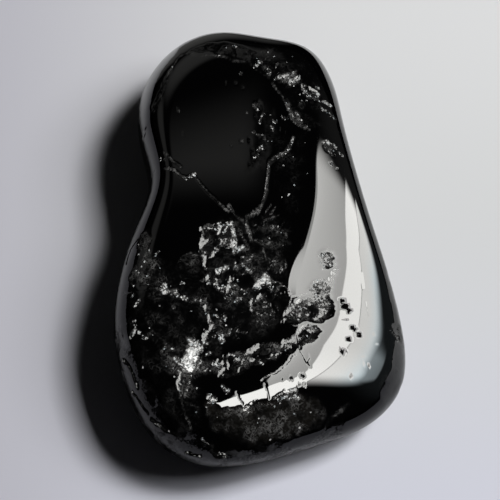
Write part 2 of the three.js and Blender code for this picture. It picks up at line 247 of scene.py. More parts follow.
BREAKS = [
    # the bay at the right with its bright upper corner, its tongue and the apron below it
    (0.1, 0.5, 0.02, 0.025, 0.85, [(3.3, -10.1), (4.1, -9.4), (5.3, -9), (6.3, -8.6), (7.3, -8.4),
     (7.7, -9.5), (7.7, -10.2), (7.5, -10.9), (6.7, -11.5), (5.2, -11.9), (3.9, -12.1),
     (2.4, -11.9), (2.5, -11)]),
    (0.07, 0.6, 0.22, 0.08, 0.7, [(5, -8.4), (5.5, -7.5), (6.3, -7.1), (6.9, -7.2), (7.4, -8),
     (7.1, -8.8), (6.3, -9.5), (5.5, -9.2)]),
    (0.1, 0.5, 0.03, 0.03, 0.9, [(4, -12.6), (4.8, -12), (5.7, -11.9), (6.2, -12.5), (5.9, -13.3),
     (5.4, -14), (4.5, -14.4), (4, -15), (3.4, -14.4), (2.2, -14.4), (2.4, -14.1), (3.2, -13.8),
     (3.8, -13.3)]),
    (0.1, 0.4, 0.02, 0.025, 0.7, [(3.4, -14.3), (3.8, -15), (3.1, -15.3), (1.5, -15.2), (0.2, -15.5),
     (-1.2, -15.7), (-2.5, -15.9), (-4.6, -16.3), (-4.4, -15.9), (-2.9, -15.3), (-1.5, -15.1),
     (-0.6, -14.5), (0.5, -14.2), (2.2, -14.3)]),
    (0.08, 0.35, 0.02, 0.02, 0.4, [(2.7, -15.5), (1, -16.1), (-0.5, -16.7), (-1.9, -17.4),
     (-3.4, -17.8), (-4.6, -17.6), (-5.4, -16.7), (-4.6, -16.3), (-2.5, -15.9), (0.2, -15.5)]),
    # the broken middle: the box-shaped corner, the strip beside it and the dim floor below
    (0.15, 0.35, 0.03, 0.015, 0, [(-6, -1.5), (-5, -1.2), (-4.1, -1), (-3.2, -0.9), (-2.5, -1.4),
     (-2.2, -2.6), (-1.6, -3.7), (-2.5, -4.5), (-3.1, -5), (-3.2, -5.9), (-4.1, -6.4),
     (-5.6, -6.2), (-5.9, -4.9), (-6.1, -3)]),
    (0.08, 0.4, 0.04, 0.028, 0.1, [(-5.2, -6.6), (-4.4, -6.8), (-3.4, -7), (-2.2, -7.2),
     (-1.2, -7.7), (-0.9, -8.8), (-1.2, -9.7), (-2.2, -9.9), (-3.1, -9.6), (-4.2, -8.9),
     (-5, -8.1), (-5.5, -7.3)]),
    (0.04, 0.35, 0.01, 0.018, 0.4, [(-0.9, -1.9), (0.7, -1), (2, -1.2), (2.5, -2.2), (1.7, -3.2),
     (0.6, -3.8), (-0.6, -3.6)]),
    (0.04, 0.35, 0.01, 0.018, 0.4, [(-2.2, -4.6), (-0.8, -4.4), (0.8, -4.6), (2.6, -5.6),
     (2.9, -6.6), (1.4, -6.9), (-0.4, -6.3), (-1.2, -5.9), (-2.2, -5.6)]),
    (0.06, 0.35, 0.01, 0.018, 0.5, [(-1.2, -9.7), (0.2, -8.6), (1.3, -9.6), (1.9, -11.2), (1, -12.1),
     (-0.8, -11.4)]),
    (0.1, 0.5, 0.6, 0.1, 0, [(-0.8, -8.2), (-0.2, -7.4), (0.5, -6.8), (1, -7.2), (1.1, -7.9),
     (0.3, -8.2), (-0.2, -8.7)]),
    (0.02, 0.04, 0, 0.006, 0.3, [(1.7, -9.7), (1.9, -8.7), (2.2, -8.2), (2.7, -8.5), (3.1, -9.3),
     (3, -10.1), (2.4, -11), (1.9, -11.6), (1.5, -10.9)]),
    # the neck, and the cluster and the leaf that shine at its foot
    (0.08, 0.3, 0.04, 0.022, 0, [(-5.6, -9.8), (-4.9, -10.3), (-4.2, -10.9), (-3.4, -11.6),
     (-3, -12.5), (-3.1, -13.3), (-3.8, -14.1), (-4.7, -14.6), (-5.6, -14.4), (-5.8, -13.3),
     (-5, -12.6), (-5.4, -11.1)]),
    # the bright cluster: its very pale colour is partly crushed mineral and partly a painted
    # highlight that whitens its glints
    (0.1, 0.5, 0.8, 1.5, 0, [(-7.2, -13.8), (-6.6, -13.9), (-6, -14.1), (-5.6, -14.8),
     (-6.1, -15.4), (-6.3, -16.3), (-6.8, -16.9), (-7.6, -16.5), (-7.6, -15.6), (-7, -14.8)]),
    (0.15, 0.05, 0, 0.008, 0, [(-8, -17.2), (-7.6, -17.1), (-7.2, -17.7), (-7.3, -18.7),
     (-7.6, -19.7), (-7.9, -19.8), (-8.2, -19.1), (-8.3, -18.2)]),
    (0.05, 0.4, 0.03, 0.03, 0, [(-9.9, -16), (-7.9, -15.2), (-6, -15.6), (-4.4, -16.2),
     (-4.7, -17.5), (-6.3, -18), (-7, -20), (-7.9, -19.6), (-8.3, -18.1), (-9.5, -17.1)]),
    # the left edge: torn ground, a ledge under it, and a dim lump beside it
    (0.06, 0.2, 0.02, 0.03, 0.2, [(-12.4, -1.4), (-11.4, -1.4), (-11, -2.6), (-11.4, -3.4),
     (-11.2, -4.7), (-10.3, -5.4), (-9.7, -6.1), (-9.3, -7.2), (-10.1, -8), (-11.3, -8.1),
     (-12.3, -8.2), (-13.4, -7.6), (-13.4, -6.2), (-12.9, -5), (-12.4, -4), (-12.7, -2.8)]),
    (0.1, 0.55, 0.1, 0.05, 0, [(-10.2, -7.7), (-9.4, -7.8), (-8.9, -8.3), (-7.8, -8.8), (-7, -9.4),
     (-5.6, -9.3), (-5.3, -9.8), (-6.9, -9.9), (-8, -9.5), (-9.2, -9), (-10.1, -8.5)]),
    (0.03, 0.15, 0, 0.012, 0, [(-8.2, -4.9), (-7.1, -4.4), (-6.3, -4.8), (-6.1, -5.7), (-6.3, -7),
     (-7, -7.4), (-8.2, -7.2), (-8.9, -6)]),
    (0.06, 0.35, 0.03, 0.02, 0, [(-12.1, -11.5), (-11, -11.7), (-10.2, -12.9), (-9.1, -13.9),
     (-7.9, -14.6), (-7.6, -15.2), (-9, -15.2), (-10.3, -14.4), (-11.4, -13.6), (-12.4, -13)]),
    # the trail of breaks over the upper right shoulder
    (0.1, 0.6, 0.1, 0.07, 0, [(1.4, 16.7), (2.1, 17.1), (3, 17.3), (4.1, 17.5), (4.4, 17),
     (4.3, 16), (3.8, 15.6), (3.1, 15.6), (2.2, 15.9), (1.7, 16.2)]),
    (0.1, 0.5, 0.06, 0.05, 0.1, [(4.6, 16.2), (5, 15.8), (5.6, 15.6), (6.2, 15.4), (6.6, 14.6),
     (6.3, 13.8), (5.8, 13.6), (5.1, 14), (4.7, 14.6), (4.4, 15.4)]),
    (0.02, 0.35, 0.03, 0.025, 0.4, [(6.5, 13.4), (7, 13.2), (7.5, 12.9), (8, 12.3), (8.3, 11.9),
     (8.2, 11.4), (7.5, 12), (7, 12.5)]),
    (0.06, 0.45, 0.06, 0.045, 0, [(2.3, 14.1), (2.9, 14), (3.3, 13.1), (3.6, 12.4), (3.9, 11.5),
     (4.6, 10.9), (5.1, 10.4), (4.7, 10.2), (4.1, 10.7), (3.5, 11.2), (3, 12.4), (2.7, 13.4)]),
    (0.05, 0.4, 0.05, 0.04, 0, [(4, 13.8), (4.6, 13.7), (5.1, 13), (4.6, 12.5), (4.1, 12.9)]),
    (0.05, 0.4, 0.08, 0.05, 0, [(-0.1, 18.2), (0.6, 18.2), (1.4, 17.4), (1.2, 16.9), (0.5, 17.3)]),
    (0.04, 0.35, 0.06, 0.035, 0, [(-0.6, 13.4), (-0.1, 13.5), (0.4, 13.2), (0.4, 12.5),
     (0.2, 12.2), (-0.3, 12.4), (-0.6, 12.9)]),
    # the wedge that the polish left between the upper left rim and the face
    (0.05, 0.12, 0.01, 0.004, 1, [(-11.5, 12.7), (-11.5, 13.6), (-11.1, 14.7), (-10.5, 16.1),
     (-9.7, 18), (-8.7, 19.6), (-7.6, 20.6), (-6.4, 21.4), (-4.8, 21.7), (-3.1, 21.4),
     (-1.4, 20.8), (-0.1, 19.8), (-0.9, 18.1), (-2, 18.8), (-3.7, 19.4), (-5.3, 19.8),
     (-7.7, 20.1), (-8.5, 20.2), (-9.1, 19.3), (-9.5, 17.5), (-10.1, 16.6), (-10.2, 15.1),
     (-10.8, 14)]),
    # two knots in the right shoulder, and one on the far right rim
    (0.03, 0.3, 0.05, 0.008, -0.7, [(6.6, 8.5), (7, 8.8), (7.5, 8.9), (8, 8.4), (8, 7.8), (7.5, 7.3),
     (7.1, 7.5), (6.7, 7.9)]),
    (0.06, 0.6, 0.28, 0.09, 0.6, [(6.2, -4.1), (6.8, -3.7), (7.5, -3.7), (7.8, -4.3), (7.7, -5.1),
     (7.3, -5.8), (6.6, -6), (6.3, -5.4)]),
    (0.06, 0.4, 0.03, 0.03, -0.3, [(13.7, -10.5), (14.3, -10.5), (14.5, -11.2), (14.2, -11.6),
     (13.6, -11.3)]),
]

# The granular skin below the right arm, and the worn stretches of the rim: same columns.
GRAINY = [
    (0.04, 0.25, 0.006, 0.03, -0.35, [(-4.7, -19.9), (-3.8, -20.8), (-2.1, -20.6), (0.2, -19.9),
     (2.5, -19.4), (4, -19), (5.8, -19.2), (6.5, -19.9), (6.9, -20.7), (5.9, -21.7),
     (4, -22.6), (2, -23.2), (0.2, -23.8), (-2, -23.7), (-3.5, -23.3), (-4.7, -22.6),
     (-5.4, -21.5), (-5.6, -20.4)]),
]
EDGE = [
    (0.03, 0.6, 0, 0.003, -0.5, [(-14.2, -11), (-12.5, -15.1), (-10.2, -18.9), (-7.3, -21.8),
     (-4.4, -23.9), (-4.4, -27), (-7.5, -27), (-13.8, -22.2), (-16.5, -16.2), (-16.5, -11)]),
    (0.03, 0.9, 0, 0.003, 0.35, [(-4.4, -24), (-1.4, -23.9), (4.6, -22.6), (8.5, -20.8),
     (9.5, -23.5), (4.6, -25.6), (-1.4, -27), (-4.4, -27)]),
    (0.03, 0.2, 0, 0.006, -0.3, [(13, -4.5), (13.7, -8), (13.9, -11.5), (13.2, -15), (12, -18),
     (13.2, -19), (16, -14), (16, -9), (15.2, -4.5)]),
    (0.06, 0.3, 0.01, 0.01, 0.8, [(-5.4, -23.4), (-4.6, -23.7), (-3.9, -24.1), (-3.1, -24.6),
     (-3.5, -25), (-4.7, -24.9), (-5.4, -24.3)]),
    (0.08, 0.2, 0, 0.01, 0.6, [(-1.2, 24), (-0.6, 23.6), (0.3, 23.6), (0.8, 24),
     (0.6, 25), (-0.9, 25)]),
]

# Cracks and crushed seams in the face: path, half width, depth, and pale crushed mineral.
CRACKS = [
    # the seam from the waist to the broken middle
    ([(-10, 7.5), (-9.3, 6.6), (-8.7, 6.1), (-8.2, 5.5)], 0.15, 0.05, 0.08),
    ([(-10, 5.6), (-9, 5.3), (-8.2, 4.6), (-7.5, 4.3), (-6.9, 4.6)], 0.14, 0.08, 0.18),
    ([(-6.7, 4.7), (-6.5, 4.1), (-5.6, 3), (-4.6, 1.7), (-3.2, 0.3)], 0.12, 0.06, 0.16),
    ([(-3.2, 1), (-2.4, -0.2), (-1.7, -0.8), (-1.1, -1.7), (-0.7, -3.1)], 0.18, 0.06, 0.1),
    ([(-2.1, -1.7), (-1.7, -2.8), (-1.1, -3.7)], 0.13, 0.06, 0.12),
    ([(-1.4, -0.9), (-1, -1.9), (-0.9, -3.1)], 0.13, 0.06, 0.16),
    ([(-10.9, 6), (-11.3, 5.9)], 0.12, 0.08, 0.08),
    # the winding seam down from the upper right, and the short strokes beside it
    ([(3.6, 9.1), (3.3, 8.4), (3, 7.8), (2.3, 7), (1.6, 6.6), (1, 6.2)], 0.16, 0.08, 0.2),
    ([(1, 6.2), (0.9, 5), (0.8, 3.8), (0.7, 2.7), (0.4, 1.7), (0.2, 0.9)], 0.15, 0.07, 0.12),
    ([(0.2, 0.9), (-0.5, 0.2), (-1.3, -0.3), (-1.3, -1.7), (-0.7, -3.1)], 0.18, 0.07, 0.16),
    ([(-1, -0.5), (-0.6, 0.3)], 0.09, 0.03, 0.25),
    ([(-0.7, -0.3), (-0.2, 0.5)], 0.09, 0.03, 0.25),
    ([(-0.2, 0.1), (0.2, 0.8)], 0.1, 0.03, 0.2),
    ([(-0.7, -1.4), (0.2, -1), (1, -0.6), (2.1, -0.1)], 0.09, 0.03, 0.06),
    ([(-0.6, -2.2), (-0.1, -1.5), (0.9, -1.1)], 0.08, 0.03, 0.06),
    ([(0.3, -3.1), (1, -2.6), (1.9, -2), (2.5, -0.9)], 0.1, 0.03, 0.08),
    ([(-0.4, -3.1), (0.3, -3.5), (1.3, -3.2)], 0.1, 0.03, 0.1),
    ([(0.3, -3.8), (0.5, -4.4), (0.7, -5.1)], 0.1, 0.03, 0.08),
    ([(1.2, -0.1), (1.7, 1)], 0.08, 0.02, 0.05),
    ([(0.7, 0.2), (1.2, 1.1)], 0.08, 0.02, 0.05),
    ([(2.3, -1.7), (2.9, -2.6)], 0.08, 0.02, 0.06),
    ([(2.7, -5.1), (2.8, -6)], 0.09, 0.02, 0.1),
    ([(-3.3, 7.8), (-2.9, 8.2), (-2.4, 8.5), (-1.6, 8.7)], 0.08, 0.03, 0.12),
    # the lips of the box-shaped corner and of the breaks beside it
    ([(-4.9, -1.3), (-5.3, -1.2), (-5.8, -1.5), (-5.8, -2.5), (-6, -3.6), (-5.8, -4.4),
      (-5.5, -5)], 0.11, 0.05, 0.26),
    ([(-5.4, -2.3), (-5.6, -3), (-5.7, -3.9)], 0.09, 0.04, 0.1),
    ([(-2.4, -4.3), (-1.8, -4.1), (-1.1, -4)], 0.11, 0.04, 0.12),
    ([(-0.9, -6.4), (-0.7, -7), (-0.4, -7.4)], 0.1, 0.04, 0.18),
    ([(1.1, -7.5), (1.9, -7.6), (2.3, -7.8)], 0.13, 0.04, 0.35),
    ([(2.1, -8), (1.8, -8.6), (1.6, -9.2), (1.3, -9.8)], 0.09, 0.02, 0.08),
    ([(2.1, -8), (2.6, -8.1), (3, -8.7), (3.2, -9.5), (3, -10.3)], 0.09, 0.02, 0.08),
    ([(3.1, -10.1), (2.6, -10.7), (2.5, -11.2), (2.2, -11.9)], 0.1, 0.02, 0.1),
    ([(3.3, -9.3), (4.1, -9.1), (4.9, -8.7)], 0.11, 0.04, 0.2),
    ([(4, -12.9), (3.7, -13.5), (3.1, -13.9), (2.5, -14.1)], 0.11, 0.04, 0.25),
    ([(4, -12.6), (4.4, -12.3), (5.2, -12.1), (5.7, -12.2)], 0.1, 0.04, 0.2),
    ([(-1.5, -15.2), (-0.4, -14.5), (0.5, -14.3), (1.9, -14.4)], 0.13, 0.04, 0.1),
    ([(-3.7, -15.9), (-3, -15.5), (-2, -15.3)], 0.16, 0.04, 0.16),
    ([(-3, -12.7), (-2, -13), (-1.2, -13.2)], 0.1, 0.03, 0.06),
    # the left edge and the leaf
    ([(-14.1, -7.8), (-12.6, -8.3), (-11.8, -8.4), (-11.1, -8.2), (-10.1, -8.2)],
     0.12, 0.06, 0.08),
    ([(-12, -3.2), (-11.6, -3.7), (-11.2, -4.2)], 0.1, 0.04, 0.08),
    ([(-8.4, -5.5), (-7.9, -4.7), (-7.1, -4.4), (-6.3, -4.8)], 0.11, 0.03, 0.03),
    ([(-11.2, -12.9), (-10.8, -13.8), (-10.2, -14.5), (-9.6, -15.2), (-9, -15.8)],
     0.14, 0.05, 0.05),
    ([(-7.4, -17), (-7.9, -17.4), (-8.1, -18.3), (-8, -19.4), (-7.7, -20.1)],
     0.09, 0.04, 0.25),
    ([(-7.4, -17), (-7.1, -17.7), (-7.2, -18.8), (-7.6, -20)], 0.08, 0.04, 0.2),
    ([(-8, -19.8), (-7.5, -20.9), (-7.2, -21.7), (-6.9, -22.5)], 0.12, 0.05, 0.08),
    ([(-7.7, -20), (-7.1, -20.4), (-6.2, -20.8)], 0.1, 0.04, 0.05),
    # two fine lines where the polish of the upper face ends
    ([(-11.6, 12.7), (-10.8, 14), (-10.3, 15.2), (-10, 16.5), (-9.7, 17.7), (-9, 19.3),
      (-8.4, 20.2), (-7.8, 20.1), (-6.4, 19.5), (-5.1, 19.6), (-3.7, 19.3), (-2.8, 18.8),
      (-1.7, 18.6), (-0.9, 18.3), (-0.1, 17.4), (0.9, 16.6), (1.4, 16.2)], 0.1, 0.02, 0.05),
    ([(1.4, 15.9), (1.8, 15.1), (2.4, 14.4), (2.7, 13.6), (3.1, 12.6), (3.3, 11.6), (3.9, 10.8),
      (4.4, 10.4), (5.3, 10)], 0.1, 0.03, 0.08),
    ([(-11.2, 12.7), (-10.5, 14.1), (-10.1, 15.4), (-9.8, 16.6)], 0.08, 0.02, 0.04),
    # the right shoulder: a chain of pits, cracks across the arm, and a hairline down it
    ([(7.7, -5.1), (7.9, -5.8), (7.6, -6.4), (7.4, -7), (7.1, -7.9), (7.1, -8.8)],
     0.2, 0.12, 0.1),
    ([(10.5, -4.5), (10.6, -6.2), (10.9, -7.7), (11.1, -9.9), (11.4, -11.4), (12.1, -13.4)],
     0.07, 0.02, 0),
    ([(10.5, -14.6), (10.7, -15.4), (10.5, -16.4)], 0.07, 0.03, 0),
    ([(4.1, -15.2), (4.4, -15.7), (4.9, -16.4)], 0.12, 0.1, 0),
    ([(5.1, -15.3), (4.8, -16.1), (5.1, -16.4)], 0.12, 0.1, 0),
    ([(0.6, -18.5), (0.8, -19), (1, -19.7)], 0.13, 0.15, 0),
    ([(-2.3, -19.3), (-2, -19.9), (-1.6, -20.4)], 0.13, 0.18, 0),
    ([(0.2, -18), (1.6, -17.3), (2.5, -16.6), (3.2, -15.8), (3.7, -15.3)], 0.1, 0.04, 0.2),
    ([(-1.6, -20.8), (-0.9, -20.3), (-0.2, -19.9)], 0.11, 0.04, 0.12),
    ([(1.4, -19.8), (2.1, -19.3), (2.6, -19)], 0.11, 0.04, 0.18),
    ([(6.5, -21.9), (6.8, -21.4), (7.2, -20.9), (8.1, -20.3), (9.1, -19.4)], 0.2, 0.05, 0.03),
    # the rim: cracks that open over the edge
    ([(13.5, -11.4), (13.8, -11.6), (14.2, -11.8), (14.4, -12.7), (14.3, -13.8)],
     0.1, 0.06, 0.05),
    ([(-12.5, -1.9), (-13.2, -2.6), (-13.6, -3.4), (-13.8, -4.3)], 0.12, 0.1, 0),
    ([(-14, -14.5), (-13, -16.2), (-12.3, -18)], 0.2, 0.08, 0),
    ([(-13, -17.9), (-12, -19.4), (-11.3, -20.5)], 0.18, 0.08, 0),
    ([(-11, -21), (-9.7, -22.1), (-8.3, -22.8)], 0.2, 0.08, 0),
    ([(-7.5, -24.1), (-6.8, -24.3), (-5.9, -24.5)], 0.14, 0.06, 0),
    ([(-5.6, -23.5), (-4.7, -24), (-3.7, -24.5)], 0.12, 0.06, 0),
]

# Single pits in the face, each with its radius.
PITS = [
    (8.3, -9.2, 0.3), (8.7, -9.8, 0.32), (9.1, -10.3, 0.22), (8.8, -11.2, 0.15),
    (9.6, -11.9, 0.3), (10.1, -12.6, 0.3), (9.1, -13.3, 0.25), (8.4, -14.6, 0.28),
    (9.3, -16.9, 0.18), (11.2, -15.6, 0.15), (4.3, -17.4, 0.22), (3.2, -17.7, 0.2),
    (4, -18.3, 0.14), (4.6, -18.2, 0.14), (2.3, -18, 0.12), (7.8, 7.3, 0.15),
    (7.5, 6.3, 0.12), (8.2, 5.6, 0.12), (-12.1, 11.4, 0.12), (-12.3, 10.8, 0.1),
    (-2.4, 15.8, 0.14), (-1.7, 15.4, 0.12), (-3.5, 15.9, 0.12), (-1, 8.6, 0.16),
    (-0.8, 7.5, 0.14), (-0.7, 7, 0.14), (-1, 5.8, 0.12), (-0.5, 6.2, 0.12),
    (2.1, 10.2, 0.12), (2.7, 9.8, 0.1), (-0.4, 11.7, 0.12), (-8, 9.5, 0.1),
]

# Facets that face the window and shine: path and half width. Their strokes are also painted pale, a
# painted highlight that whitens the glints over a little crushed mineral.
SHINING = [
    # the box-shaped corner
    ([(-4.2, -1), (-4.1, -1.8)], 0.16), ([(-3.7, -1.2), (-3.3, -1.2)], 0.14),
    ([(-3.6, -2.2), (-3.3, -1.6)], 0.16), ([(-2.9, -1), (-2.7, -2.5)], 0.22),
    ([(-2.7, -2.8), (-2.5, -3.5)], 0.27), ([(-2.5, -3.7), (-2.4, -4.2), (-2.6, -4.4)], 0.22),
    ([(-2.3, -4.1), (-1.7, -3.7)], 0.22), ([(-5.8, -4.7), (-5.7, -5.4)], 0.16),
    ([(-5.7, -5.6), (-5.4, -6.2)], 0.11), ([(-4.3, -6.4), (-3.8, -6.2), (-3.4, -6)], 0.27),
    ([(-1.8, -5.6), (-1.3, -6.1)], 0.14), ([(-2.5, -6), (-2.3, -6.1)], 0.16),
    ([(-1.1, -6.3), (-0.9, -6.4)], 0.16), ([(-5.9, -7.5), (-5.5, -7.3)], 0.16),
    ([(-5.6, -7.2), (-5.1, -7.6)], 0.11),
    # the middle and the neck
    ([(-0.3, -8.1), (-0.1, -7.6)], 0.27), ([(0.2, -7.5), (0.6, -7)], 0.33),
    ([(0.7, -7.2), (0.9, -7.7)], 0.27), ([(1.1, -8.6), (1.2, -8.6)], 0.16),
    ([(-2.4, -8.9), (-2.3, -9)], 0.16), ([(-4.6, -7.9), (-4.2, -8.4)], 0.16),
    ([(-3.9, -8.3), (-3.2, -8.2)], 0.16), ([(-2.4, -9.5), (-2.1, -9.6)], 0.14),
    ([(-3.4, -9.3), (-3.1, -9.5)], 0.14), ([(-0.1, -9.5), (0.3, -9.2)], 0.14),
    ([(-5.9, -9.8), (-5.5, -9.5)], 0.14), ([(-3.6, -11.3), (-3.5, -11.9)], 0.14),
    ([(-3.9, -13.3), (-3.7, -14)], 0.27), ([(-3.3, -13.4), (-3.1, -13.2)], 0.16),
    ([(-4.7, -13.4), (-4.4, -13.4)], 0.14), ([(-5.6, -13.3), (-5.3, -13.2)], 0.14),
    ([(-5.7, -14.1), (-5.3, -14.4)], 0.16),
    # the bright cluster, and the flecks round the apron
    ([(-7, -14), (-6.7, -14.6)], 0.27), ([(-6.5, -14.3), (-6.2, -15)], 0.33),
    ([(-6.2, -14.7), (-5.9, -14.9)], 0.27), ([(-7, -15), (-6.6, -15.8)], 0.43),
    ([(-7.3, -16), (-6.9, -16.7)], 0.43), ([(-7.6, -15.9), (-7.3, -16.2)], 0.27),
    ([(-8.4, -15.8), (-8.2, -16.1)], 0.19), ([(-8, -16.3), (-7.8, -16.5)], 0.19),
    ([(-5.3, -15.3), (-5, -15.2)], 0.14), ([(-4.7, -16.3), (-4.1, -16.6)], 0.22),
    ([(1.8, -15), (1.9, -15.2)], 0.14), ([(0.1, -16.1), (0.3, -16.3)], 0.14),
    ([(-2.4, -15.9), (-2.1, -15.9)], 0.14),
    # the left edge
    ([(-9.7, -8), (-9.6, -8.7)], 0.27), ([(-8.6, -8.6), (-8.4, -8.9)], 0.16),
    ([(-8, -7.7), (-7.8, -7.8)], 0.14), ([(-7.9, -9.1), (-7.4, -9.5)], 0.19),
    ([(-10.9, -4.7), (-10.3, -4.2)], 0.08), ([(-12.8, -9.8), (-12.2, -9.3)], 0.14),
    ([(-13.1, -8.6), (-12.9, -8.5)], 0.11), ([(-8.8, -10.1), (-8.6, -10.4)], 0.09),
    ([(-13, -12.9), (-12.7, -12.2)], 0.24), ([(-12.7, -11.4), (-12.7, -11.8)], 0.11),
    ([(-12.3, -12.6), (-12.2, -12.8)], 0.14), ([(-11.8, -13.4), (-11.5, -13.5)], 0.14),
    ([(-11.5, -6.7), (-11.2, -6.5)], 0.09),
    # the lower edge
    ([(-5.1, -19.9), (-4.6, -20.2)], 0.27), ([(-3.8, -18.6), (-3.1, -19.3)], 0.14),
    ([(2.7, -19.1), (3.7, -18.9)], 0.14), ([(2, -19.9), (2.9, -19.6)], 0.19),
    ([(3.1, -19.6), (3.9, -19.4)], 0.16), ([(-5.7, -23.3), (-5.6, -23.5)], 0.1),
    # the trail at the upper right
    ([(-0.5, 18.1), (-0.1, 18.3)], 0.14), ([(-0.3, 18.5), (0.3, 18.6)], 0.11),
    ([(1.9, 18.2), (2, 18.4)], 0.11), ([(1.1, 17), (1.2, 17.2)], 0.14),
    ([(1.6, 16.4), (2.3, 16.8), (3, 17)], 0.14), ([(3.3, 16.4), (3.5, 15.8)], 0.16),
    ([(3.7, 16.2), (4.2, 16.7)], 0.22), ([(3.6, 17.2), (4, 17.4)], 0.14),
    ([(4.7, 15.3), (5, 14.9)], 0.19), ([(5.1, 14.3), (5.8, 14.8)], 0.1),
    ([(5.9, 14), (6.3, 14.9)], 0.12), ([(6.2, 15.7), (6.4, 15.7)], 0.11),
    ([(7, 13.9), (7.6, 13.7)], 0.22), ([(6.7, 13), (7.2, 12.5)], 0.09),
    ([(7.5, 12.6), (7.9, 12)], 0.09),
    # single flecks over the upper face
    ([(4, 12.1), (4.2, 11.4)], 0.16), ([(3.5, 11.9), (4.1, 11)], 0.09),
    ([(4.3, 10.6), (5.1, 10.3)], 0.09), ([(2.4, 11.5), (2.7, 11.4)], 0.11),
    ([(2.9, 11.5), (3, 11.5)], 0.11), ([(1.4, 11), (1.8, 11)], 0.09),
    ([(1.3, 10.5), (1.5, 10.1)], 0.09), ([(-0.6, 9.8), (-0.4, 9.7)], 0.11),
    ([(-0.1, 9.4), (0.2, 9.3)], 0.14), ([(0.5, 9.4), (0.6, 8.9)], 0.09),
    ([(-0.1, 7.5), (0.3, 7.8)], 0.14), ([(-0.4, 6.7), (-0.1, 6.9)], 0.14),
    ([(0.5, 12.1), (0, 11)], 0.09), ([(-0.6, 13.1), (-0.1, 12.3)], 0.11),
    ([(-1.3, 12.1), (-1.1, 12)], 0.09), ([(-8.7, 12.7), (-8.5, 12.5)], 0.08),
    ([(-2, 17.2), (-1.8, 17.2)], 0.13),
    # the seams and the knot
    ([(3.2, 7.8), (2.6, 7.2), (2, 6.8), (1.3, 6.3)], 0.11), ([(1, 6.2), (0.9, 5.3)], 0.1),
    ([(3.5, 8.8), (3.3, 8.2)], 0.1), ([(-7.2, 4.4), (-6.7, 4.7)], 0.16),
    ([(-10.4, 6.9), (-10.4, 6.7)], 0.13), ([(-10, 6.6), (-9.9, 6.5)], 0.13),
    ([(-7.9, 4.4), (-7.5, 4.1)], 0.09), ([(7.2, 8.9), (7.4, 8.6)], 0.13),
    ([(7.9, 8.6), (8.1, 8.2)], 0.16), ([(7.3, 7.6), (7.5, 7.4)], 0.16),
    ([(8.3, 7.8), (8.8, 7.5)], 0.11), ([(7.4, 6.4), (7.6, 6)], 0.13),
]
# How far an outline or a path strays: two sizes of noise, and how much of them each kind takes.
STRAY = 0.22
CRACK_STRAY = 0.35
PIT_STRAY = 0.7
SHINE_STRAY = 0.5
# The lip outside an outline, and how far inside it the wear is full, for each kind of ground.
LIP = 0.1
SOFTNESS = {"worn": 1.2, "break": 0.35, "grainy": 0.6, "edge": 0.6}
# Parts of a floor's depth, roughness and turn that its uneven noise takes away or turns round.
FLOOR_MEAN, FLOOR_SWING = 0.8, 0.2
PATCH_LEAST = 0.3
HOLLOW_TURN = 1.8
HAIRLINE = 0.12
# Underneath, noise alone places the torn patches and the seams: depth, roughness, crushed
# mineral, and for the patches the share that shines.
TORN_BELOW = (0.12, 0.45, 0.03, 0.04)
SEAM_BELOW = (0.1, 0.3, 0.04)


def close_to(points, outline, margin):
    """Which points lie in an outline's box grown by a margin."""
    corners = np.array(outline)
    plan = points[..., :2]
    return np.all((plan > corners.min(0) - margin) & (plan < corners.max(0) + margin), axis=-1)


def raise_to(layer, near, value):
    """Lifts a layer to a value where it is lower, at the places that are near."""
    layer[near] = np.maximum(layer[near], value)


